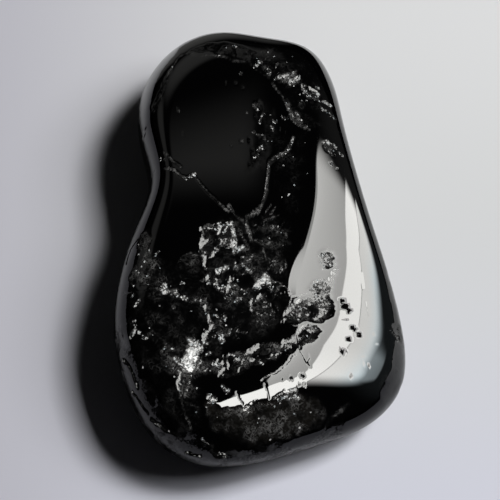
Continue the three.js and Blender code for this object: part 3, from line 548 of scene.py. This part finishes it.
def worn_relief(points, normal, is_top):
    """What the wear left at each place. A break is an uneven floor inside a lip that rises over
    its kind's softness, a crack is a V, a pit is a bowl, and noise leaves gaps in all of them.
    Gives the depth under the tumbled form, the turn of the surface up to the dark ceiling, its
    roughness, the share of facets that shine, the crushed mineral together with the painted highlight
    that whitens the shining strokes, and the grainy skin."""
    shift = np.stack([lattice_noise(points, 0.9, 40 + k) for k in range(3)], -1)
    shift = shift + 0.5 * np.stack([lattice_noise(points, 0.35, 50 + k) for k in range(3)], -1)
    strayed = points + STRAY * shift
    uneven = lattice_noise(points, 1.3, 61) + 0.7 * lattice_noise(points, 0.5, 62)
    patchy = eased(uneven, -0.5, 0.6)
    shape = points.shape[:-1]
    depth, rough, shine, pale_dust_and_glint, grain, lifted = (np.zeros(shape) for _ in range(6))
    if not is_top:
        torn = lattice_noise(points, 4.0, 71) + 0.5 * lattice_noise(points, 1.5, 72)
        within = eased(torn, 0.5, 0.7)
        seam = abs(lattice_noise(points, 3.0, 75) + 0.3 * lattice_noise(points, 1.0, 76))
        seam = eased(0.03 - seam, 0, 0.03) * eased(lattice_noise(points, 5.0, 77), 0, 0.2)
        depth = np.maximum(within * TORN_BELOW[0], seam * SEAM_BELOW[0])
        rough = np.maximum(within * TORN_BELOW[1] * patchy, seam * SEAM_BELOW[1])
        pale_dust_and_glint = np.maximum(within * TORN_BELOW[2] * patchy, seam * SEAM_BELOW[2])
        shine = within * TORN_BELOW[3] * patchy
    kinds = [("worn", WORN), ("break", BREAKS), ("grainy", GRAINY)] if is_top else []
    for kind, rows in kinds + [("edge", EDGE)]:
        for number, (deep, loss, share, pale, lift, outline) in enumerate(rows):
            near = close_to(strayed, outline, 1.0)
            within = eased(inside(strayed[near], outline), -LIP, SOFTNESS[kind])
            fade = within * (PATCH_LEAST + (1 - PATCH_LEAST) * patchy[near])
            floor = deep * (FLOOR_MEAN - FLOOR_SWING * uneven[near])
            if kind == "break":
                floor = floor - facets(points[near], 10 * number) * min(1.0, deep * 10)
            raise_to(depth, near, within * floor)
            raise_to(rough, near, loss * fade)
            raise_to(shine, near, share * fade)
            raise_to(pale_dust_and_glint, near, pale * fade)
            # in the hollows of the rim the turn is reversed, which breaks up its mirror image
            hollows = eased(uneven[near], 0.3, 0.7) if kind == "edge" else 0
            lifted[near] += lift * within * (1 - HOLLOW_TURN * hollows)
            if kind == "grainy":
                grain[near] = fade
    for path, half, deep, pale in CRACKS if is_top else []:
        near = close_to(strayed, path, 0.8)
        gap = beside(points[near] + CRACK_STRAY * (strayed[near] - points[near]), path)
        cut = np.clip(1.25 - gap / (half * 0.75), 0, 1)
        raise_to(depth, near, cut * deep * (0.4 if pale else 0.15))
        if pale:
            raise_to(rough, near, 0.35 * cut)
            raise_to(pale_dust_and_glint, near, pale * cut * (0.15 + 1.3 * patchy[near]))
        else:
            # an empty crack turns to the ceiling, and a hairline hardly does
            dark = eased(cut, 0.1, 0.7) * min(1.0, half / HAIRLINE) ** 4
            raise_to(lifted, near, dark)
    for x, y, radius in PITS if is_top else []:
        near = close_to(points, [(x, y)], radius * 3)
        gap = beside(points[near] + PIT_STRAY * (strayed[near] - points[near]), [(x, y)])
        cut = eased(1.35 - gap / radius, 0, 0.3)
        raise_to(depth, near, cut * radius * 0.05)
        raise_to(rough, near, 0.15 * cut)
        raise_to(lifted, near, cut)
    for path, half in SHINING if is_top else []:
        near = close_to(points, path, half * 3)
        gap = beside(points[near] + SHINE_STRAY * (strayed[near] - points[near]), path)
        lit = eased(1.2 - gap / half, 0, 0.5)
        raise_to(shine, near, (0.05 + half * 1.8) * lit)
        raise_to(rough, near, 0.35 * lit)
        # pale colour painted into the shining strokes: a painted highlight that whitens the glints,
        # over a little crushed mineral
        raise_to(pale_dust_and_glint, near, (0.02 + half * half * 5) * lit)
    turn = -normal * np.array([1.0, 1.0, 0.0]) * np.clip(lifted, -1, 1)[..., None]
    return depth, turn, rough, shine, pale_dust_and_glint, grain


top = stone_side(TOP_STEPS, True)
bottom = stone_side(TOP_STEPS // 2, False)
top_normal, bottom_normal = outward(top), -outward(bottom)
top_worn = worn_relief(top, top_normal, True)
bottom_worn = worn_relief(bottom, bottom_normal, False)
top = top - top_normal * top_worn[0][..., None]
bottom[1:-1, 1:-1] -= (bottom_normal * bottom_worn[0][..., None])[1:-1, 1:-1]


def ring_of(grid):
    """The border of a square grid, counter-clockwise from its first corner."""
    return np.concatenate([grid[0, :-1], grid[:-1, -1], grid[-1, :0:-1], grid[:0:-1, 0]])


# The mesh: squares above, squares twice as wide below, and five-sided cells where they meet.
count = TOP_STEPS + 1
half = TOP_STEPS // 2
top_at = np.arange(count * count).reshape(count, count)
bottom_at = np.full((half + 1, half + 1), -1)
bottom_at[1:-1, 1:-1] = count * count + np.arange((half - 1) ** 2).reshape(half - 1, half - 1)
bottom_at[0], bottom_at[-1] = top_at[0, ::2], top_at[-1, ::2]
bottom_at[:, 0], bottom_at[:, -1] = top_at[::2, 0], top_at[::2, -1]
top_faces = np.stack([top_at[:-1, :-1], top_at[:-1, 1:], top_at[1:, 1:], top_at[1:, :-1]], -1)
low_faces = np.stack(
    [bottom_at[:-1, :-1], bottom_at[1:, :-1], bottom_at[1:, 1:], bottom_at[:-1, 1:]], -1)
faces = top_faces.reshape(-1, 4).tolist()
middle_of = {}
for a, m, b in zip(*[np.roll(ring_of(top_at), -k)[::2].tolist() for k in range(3)]):
    middle_of[(a, b)] = m
    middle_of[(b, a)] = m
for corners in low_faces.reshape(-1, 4).tolist():
    cell = []
    for a, b in zip(corners, corners[1:] + corners[:1]):
        cell.append(a)
        if (a, b) in middle_of:
            cell.append(middle_of[(a, b)])
    faces.append(cell)
MILLIMETRE = 0.001
vertices = np.concatenate([top.reshape(-1, 3), bottom[1:-1, 1:-1].reshape(-1, 3)]) * MILLIMETRE
mesh = bpy.data.meshes.new("tourmaline_stone_skin")
mesh.from_pydata(vertices.tolist(), [], faces)


def on_vertices(top_values, bottom_values):
    """One value for each vertex of the mesh, from the grids of its two sides."""
    wide = top_values.shape[2:]
    return np.concatenate([top_values.reshape(-1, *wide),
                           bottom_values[1:-1, 1:-1].reshape(-1, *wide)])


_, turned, roughened, shining, dust_and_glint_levels, grainy = (
    on_vertices(above, below) for above, below in zip(top_worn, bottom_worn))
for name, values in (("rough", roughened), ("shine", shining), ("pale_dust_and_glint", dust_and_glint_levels),
                     ("grain", grainy)):
    layer = mesh.attributes.new(name, "FLOAT", "POINT")
    layer.data.foreach_set("value", values.astype(np.float32))
layer = mesh.attributes.new("turn", "FLOAT_VECTOR", "POINT")
layer.data.foreach_set("vector", turned.astype(np.float32).reshape(-1))
mesh.polygons.foreach_set("use_smooth", np.ones(len(faces), bool))
mesh.update()
stone = bpy.data.objects.new("tourmaline_skin", mesh)
bpy.context.scene.collection.objects.link(stone)


# Polished black tourmaline: almost black, glossy, a little brown where it is broken.
class Number:
    """A number that varies over a surface. Sums, products and the like add Math nodes."""

    def __init__(self, tree, socket):
        self.tree = tree
        self.socket = socket

    def with_(self, operation, first, second=None, third=None):
        values = [v for v in (first, second, third) if v is not None]
        made = self.tree.node("ShaderNodeMath", {"operation": operation}, dict(enumerate(values)))
        return Number(self.tree, made.outputs[0])

    def __add__(self, other):
        return self.with_("ADD", self, other)

    def __sub__(self, other):
        return self.with_("SUBTRACT", self, other)

    def __mul__(self, other):
        return self.with_("MULTIPLY", self, other)

    def __truediv__(self, other):
        return self.with_("DIVIDE", self, other)

    def __radd__(self, other):
        return self.with_("ADD", other, self)

    def __rsub__(self, other):
        return self.with_("SUBTRACT", other, self)

    def __rmul__(self, other):
        return self.with_("MULTIPLY", other, self)

    def __rtruediv__(self, other):
        return self.with_("DIVIDE", other, self)

    def __gt__(self, other):
        return self.with_("GREATER_THAN", self, other)

    def __lt__(self, other):
        return self.with_("LESS_THAN", self, other)

    def least(self, other):
        return self.with_("MINIMUM", self, other)

    def most(self, other):
        return self.with_("MAXIMUM", self, other)

    def eased(self, low, high):
        made = self.tree.node("ShaderNodeMapRange", {"interpolation_type": "SMOOTHSTEP"},
                              {"Value": self, "From Min": low, "From Max": high})
        return Number(self.tree, made.outputs[0])


class Shader:
    """The node tree of a material or of the world, emptied first."""

    def __init__(self, tree):
        self.nodes = tree.nodes
        self.links = tree.links
        self.nodes.clear()

    def node(self, kind, settings=None, sockets=None):
        """Adds a node: its settings first, then the values or links of its sockets."""
        made = self.nodes.new(kind)
        for name, value in (settings or {}).items():
            setattr(made, name, value)
        for name, value in (sockets or {}).items():
            source = value.socket if isinstance(value, Number) else value
            if isinstance(source, bpy.types.NodeSocket):
                self.links.new(source, made.inputs[name])
            else:
                made.inputs[name].default_value = source
        return made

    def number(self, kind, settings=None, sockets=None, output=0):
        """Adds a node and gives one of its outputs as a Number."""
        return Number(self, self.node(kind, settings, sockets).outputs[output])

    def mixed(self, share, first, second):
        """A colour part-way between two others."""
        made = self.node("ShaderNodeMix", {"data_type": "RGBA"}, {0: share, 6: first, 7: second})
        return made.outputs[2]


WINDOW_LEAN = (0.4, -0.13, 1.0)
GLINT_SCALE = 6500.0
WAVE_SCALE = 4200.0
GRAIN_SCALE = 3800.0
GAP_SCALE = 1100.0
VEIN_PATCH_SCALE = 700.0
COARSE_VEINS = {"scale": 1400.0, "twist": 0.8, "sharpness": 24.0}
FINE_VEINS = {"scale": 3000.0, "twist": 0.6, "sharpness": 16.0}
POLISH = 0.03
TOURMALINE_IOR = 1.65
BLACK = (0.0006, 0.0006, 0.0007, 1)
DARK_BROWN = (0.012, 0.0105, 0.008, 1)
# the white of crushed mineral, also used as a painted highlight where facets shine
CRUSHED_WHITE_AND_GLINT = (1.0, 0.99, 0.96, 1)


def black_tourmaline():
    """The stone's material. Polished skin is a smooth, nearly black mirror. Broken ground is uneven
    and satin, some of its small facets face the window, and crushed mineral lies on it in pale grains
    and thin veins. The same pale colour is painted where facets shine, as a highlight that whitens
    the glints."""
    material = bpy.data.materials.new("black_tourmaline")
    material.use_nodes = True
    shader = Shader(material.node_tree)
    place = shader.node("ShaderNodeTexCoord").outputs["Object"]

    def painted(name):
        """The level of one kind of wear, as the relief left it."""
        return shader.number("ShaderNodeAttribute", {"attribute_name": name}, output=2)

    def noise(scale, detail=0.0, twist=0.0):
        return shader.node("ShaderNodeTexNoise", None, {
            "Vector": place, "Scale": scale, "Detail": detail, "Distortion": twist})

    def level(scale, detail=0.0, twist=0.0):
        return Number(shader, noise(scale, detail, twist).outputs[0])

    def vector(operation, first, second):
        sockets = {0: first, "Scale": second} if operation == "SCALE" else {0: first, 1: second}
        return shader.node("ShaderNodeVectorMath", {"operation": operation}, sockets).outputs[0]

    rough, shine = painted("rough"), painted("shine")
    pale_dust_and_glint, grain = painted("pale_dust_and_glint"), painted("grain")
    specks = shader.node("ShaderNodeTexVoronoi", None, {"Vector": place, "Scale": GLINT_SCALE})
    parts = shader.node("ShaderNodeSeparateColor", None, {0: specks.outputs["Color"]})
    caught = Number(shader, parts.outputs[1]) < shine
    dull = Number(shader, parts.outputs[2])
    grains = level(GRAIN_SCALE, 2.0).eased(0.42, 0.72)
    gaps = level(GAP_SCALE, 1.0).eased(0.35, 0.6)

    def fibres(scale, twist, sharpness):
        """Thin lines where a noise crosses its middle."""
        apart = (level(scale, 2.0, twist) - 0.5) * sharpness
        return (1 - apart * apart).most(0.0)

    veins = fibres(**COARSE_VEINS) + fibres(**FINE_VEINS) * 0.5
    veins = veins * level(VEIN_PATCH_SCALE).eased(0.44, 0.62)
    # the pale colour: crushed mineral, and where facets shine a painted highlight
    dust_and_glint = pale_dust_and_glint * (0.1 + grains * gaps * 1.2) + pale_dust_and_glint.least(0.02) * veins * 4.5
    colour = shader.mixed(grain * 0.6, BLACK, DARK_BROWN)
    colour = shader.mixed(dust_and_glint.least(1.0), colour, CRUSHED_WHITE_AND_GLINT)
    middle_grey = (0.5, 0.5, 0.5)
    waves = vector("SUBTRACT", noise(WAVE_SCALE, 2.0).outputs["Color"], middle_grey)
    waves = vector("SCALE", waves, rough * 1.1)
    strays = vector("SUBTRACT", specks.outputs["Color"], middle_grey)
    own_way = vector("SCALE", strays, rough * 0.25)
    leaning = shader.node("ShaderNodeAttribute", {"attribute_name": "turn"}).outputs["Vector"]
    normal = shader.node("ShaderNodeNewGeometry").outputs["Normal"]
    for extra in (waves, own_way, leaning):
        normal = vector("ADD", normal, extra)
    facing = vector("ADD", vector("SCALE", strays, 0.35), WINDOW_LEAN)
    facing = vector("SUBTRACT", facing, normal)
    normal = vector("ADD", normal, vector("SCALE", facing, caught))
    normal = shader.node("ShaderNodeVectorMath", {"operation": "NORMALIZE"}, {0: normal})
    skin = shader.node("ShaderNodeBsdfPrincipled", None, {
        "Base Color": colour,
        "Roughness": POLISH + rough * 0.42 * (1 - caught) + caught * (0.1 + dull * 0.45),
        "Normal": normal.outputs[0],
        "IOR": TOURMALINE_IOR,
    })
    shader.node("ShaderNodeOutputMaterial", None, {"Surface": skin.outputs[0]})
    return material


mesh.materials.append(black_tourmaline())
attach(stone, "root")
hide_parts("tourmaline_stone")


# What the stone lies on: a wide white paper, with painted light and shade that make it lighter to the
# back and darker to the left and the front, and just above it a sheet that only the polished stone
# mirrors. That sheet has deeper painted shade at the left and the front, where the real paper lies in
# the shade of the room, and it neither shades nor lights the paper under it.
# Paper colours with painted light and shade: lighter to the back, darker and cooler to the left and
# the front.
PAPER_WHITE = (0.8, 0.81, 0.815, 1)
PAPER_BACK_LIT = (0.87, 0.875, 0.88, 1)
PAPER_FRONT_SHADE = np.array([0.78, 0.79, 0.9])
PAPER_LEFT_SHADE = np.array([0.63, 0.625, 0.69])
TABLE_DROP = 0.0001
TABLE_RADIUS = 1.5


def paper(name, front_shade_share, left_shade_share):
    """Matt white paper with painted light and shade: a little lighter towards the back, cooler and
    darker towards the left and the front, where the two shares scale the painted shade."""
    material = bpy.data.materials.new(name)
    material.use_nodes = True
    shader = Shader(material.node_tree)
    place = shader.node("ShaderNodeTexCoord").outputs["Object"]
    axes = shader.node("ShaderNodeSeparateXYZ", None, {0: place})
    x, y = Number(shader, axes.outputs[0]), Number(shader, axes.outputs[1])
    front = (0 - y).eased(-0.01, 0.04)
    left = (0 - x).eased(-0.01, 0.04)
    back = y.eased(0, 0.035)
    colour = shader.mixed(back, PAPER_WHITE, PAPER_BACK_LIT)
    colour = shader.mixed(front, colour, (*(PAPER_FRONT_SHADE * front_shade_share), 1))
    colour = shader.mixed(left, colour, (*(PAPER_LEFT_SHADE * left_shade_share), 1))
    skin = shader.node("ShaderNodeBsdfPrincipled", None, {
        "Base Color": colour, "Roughness": 1.0, "Specular IOR Level": 0.0})
    shader.node("ShaderNodeOutputMaterial", None, {"Surface": skin.outputs[0]})
    return material


def flat_sheet(name, corners, height):
    """A flat sheet with the given outline, facing up."""
    corners = np.array(corners)
    points = np.column_stack([corners, np.full(len(corners), height)])
    sheet_mesh = bpy.data.meshes.new(name)
    sheet_mesh.from_pydata(points.tolist(), [], [list(range(len(corners)))])
    sheet = bpy.data.objects.new(name, sheet_mesh)
    bpy.context.scene.collection.objects.link(sheet)
    return sheet


sheet = flat_sheet("paper", [(-0.1, -0.02), (-0.06, -0.045), (-0.03, -0.06), (0.0, -0.05),
                             (0.16, -0.044), (0.16, 0.036), (-0.05, 0.036)], 0)
turns = np.arange(96) / 96 * 2 * np.pi
ring = TABLE_RADIUS * np.column_stack([np.cos(turns), np.sin(turns)])
table = flat_sheet("table", ring, -TABLE_DROP)
table.visible_glossy = False
sheet.visible_shadow = False
sheet.visible_diffuse = False
sheet.visible_camera = False
# both papers carry painted shade to the left and front and painted light to the back; the mirrored
# sheet's shade is deeper
table.data.materials.append(paper("white_paper_painted_shade", 1, 1))
sheet.data.materials.append(paper("mirrored_paper_painted_shade", 0.42, 0.52))


# The light. One soft window high on the right: two soft boxes light the paper and cast the
# shadow, a third fills it faintly, and the room round the stone holds the window's panes as
# its polish mirrors them.
WINDOW_SIDE = -30
WINDOW_HEIGHT = 45
BOX_AWAY = 0.8
LIGHT_STRENGTH = 1.24


def direction(side, height):
    """Unit vector at a side round the stone, in degrees from +X, and a height over the paper:
    (cos height cos side, cos height sin side, sin height)."""
    side, height = np.radians(side), np.radians(height)
    return np.array([np.cos(height) * np.cos(side), np.cos(height) * np.sin(side),
                     np.sin(height)])


def soft_box(name, side, height, size, power):
    """A square area light BOX_AWAY from the stone, turned to face it. It is left out of the
    mirror images, where the panes stand for it."""
    light = bpy.data.lights.new(name, "AREA")
    light.shape = "SQUARE"
    light.size = size
    light.energy = power
    box = bpy.data.objects.new(name, light)
    box.location = direction(side, height) * BOX_AWAY
    box.rotation_euler = (0, np.radians(90 - height), np.radians(side))
    box.visible_glossy = False
    box.visible_camera = False
    bpy.context.scene.collection.objects.link(box)


soft_box("window_top", 18, 56, 0.2, 4.4)
soft_box("window_low", 2, 46, 0.26, 1.75)
soft_box("room_fill", 180, 88, 1.4, 0.08)


def window_light():
    """Light by direction. The window is a flat pattern square to its middle direction: a and b
    are a direction's offsets down and along it, divided by its part towards the window."""
    world = bpy.data.worlds.new("window_light")
    world.use_nodes = True
    shader = Shader(world.node_tree)
    away = shader.node("ShaderNodeTexCoord").outputs["Generated"]

    def part(side, height):
        """How much of a direction points to a side and a height."""
        made = shader.node("ShaderNodeVectorMath", {"operation": "DOT_PRODUCT"},
                           {0: away, 1: tuple(direction(side, height))})
        return Number(shader, made.outputs["Value"])

    towards = part(WINDOW_SIDE, WINDOW_HEIGHT)
    down = part(WINDOW_SIDE, WINDOW_HEIGHT - 90)
    along = part(WINDOW_SIDE + 90, 0)
    up = part(0, 90)
    east, north = part(0, 0), part(90, 0)
    facing = (towards > 0.05) * (up > 0.0)
    safe = towards.most(0.05)
    a = down / safe
    b = along / safe

    def over(slope, level, soft=0.01):
        """1 where b is over the line level + slope * a, with a soft edge."""
        return (b - a * slope).eased(level - soft, level + soft)

    def between(low, high):
        """1 where a is between two values, with soft edges."""
        return a.eased(low - 0.006, low + 0.006) * (1 - a.eased(high - 0.006, high + 0.006))

    # the two bars between the panes lean over where the window is high
    above = (b - 0.8).most(0.0)
    first_bar = above * 0.25 + above * above * 0.16 - 0.375
    first_bar = first_bar + (0.5 - b).most(0.0).least(0.4) * 0.18 - (-0.02 - b).most(0.0) * 0.6
    second_bar = (b - 0.95).most(0.0) * 0.5 - 0.195
    past_first = (a - first_bar).eased(-0.006, 0.006)
    past_second = (a - second_bar).eased(-0.005, 0.004)
    # the left pane: it dims towards the first bar, and a strip of its far end is half shaded
    left = (5.9 - (a + 0.78).most(0.0) * 4.2) * (1 - between(-1.0, -0.81) * over(0, 0.6, 0.06) * 0.5)
    left = left * over(-0.77, -0.5) * (a + (b - 0.59).eased(-0.02, 0.02) * -0.24).eased(-1.13, -1.11)
    left = left * (1 - over(0.35, 1.42, 0.14)) * (1 - over(0.87, 1.8, 0.04)) * (1 - past_first)
    # the middle pane: the brightest, and brighter still towards its near end
    middle = (9.6 + (0.5 - b).most(0.0).least(0.6) * 3.0) * over(0, -0.56, 0.03)
    middle = middle * (1 - over(0, 1.5, 0.2)) * over(3.0, 0.2)
    middle = middle * past_first * (1 - past_second)
    # the right pane: it fades out past its reach, and a dimmer tail runs on at its near end
    right = (7.2 + (0.7 - b).most(0.0).least(0.5) * 4.0) * over(0.76, 0.12, 0.14)
    reach = 0.08 + (b - 0.8).most(0.0) * 0.25 + (0.5 - b).most(0.0).least(0.4) * 0.25
    tail = 2.9 - (a - 0.08).most(0.0) * 5.5
    tail = tail * (1 - a.eased(0.3, 0.35)) * over(0.76, 0.08, 0.06) * (1 - over(0, 0.76, 0.12))
    right = (right * (1 - (a - reach).eased(-0.1, 0.1))).most(tail) * (1 - over(0, 1.8, 0.1))
    right = right * (a - second_bar).eased(-0.001, 0.009)
    panes = left + middle + right
    # the dim room: a faint patch of ceiling, three dull glows round the stone, and one below it
    height_share = up.most(0.01)
    x, y = east / height_share, north / height_share
    slant = y - x * 0.5
    ceiling = (x.eased(-0.4, -0.08) * (1 - x.eased(-0.02, 0.04))
               * y.eased(0.5, 0.61) * (1 - slant.eased(0.62, 0.84)))

    def glow(side, height, reach):
        """A round patch of light: 1 within a third of its reach in degrees, 0 past it."""
        edge, core = np.cos(np.radians([reach, reach / 3])).tolist()
        return part(side, height).eased(edge, core)

    room = (ceiling * 0.15 + glow(104, 26, 24) * 0.17 + glow(144, 31, 16) * 0.13
            + glow(10, 14, 45) * 0.08 + 0.004) * (up > 0.0)
    room = room + glow(106, -21, 26) * 0.15 * (up < 0.0)
    tint = shader.mixed((a - second_bar).eased(0.05, 0.35), (1, 0.995, 0.965, 1),
                        (0.82, 0.95, 1, 1))
    light = shader.node("ShaderNodeBackground", None, {
        "Color": tint, "Strength": (panes * facing + room) * LIGHT_STRENGTH})
    backdrop = shader.node("ShaderNodeBackground", None, {"Color": (0.66, 0.67, 0.69, 1),
                                                          "Strength": 1.0})
    seen = shader.node("ShaderNodeLightPath").outputs["Is Camera Ray"]
    mix = shader.node("ShaderNodeMixShader", None, {0: seen, 1: light.outputs[0],
                                                    2: backdrop.outputs[0]})
    shader.node("ShaderNodeOutputWorld", None, {"Surface": mix.outputs[0]})
    return world


bpy.context.scene.world = window_light()
bpy.context.scene.world.cycles_visibility.diffuse = False
bpy.context.scene.view_settings.view_transform = "Standard"


# The camera: a long lens from the front, leaning over the stone.
lens = bpy.data.cameras.new("camera")
lens.lens = 150
lens.sensor_width = 36
lens.clip_start = 0.01
lens.clip_end = 10
camera = bpy.data.objects.new("camera", lens)
camera.location = (-0.000965, -0.09443, 0.20629)
camera.rotation_euler = (np.radians(25), 0, 0)
bpy.context.scene.collection.objects.link(camera)
bpy.context.scene.camera = camera
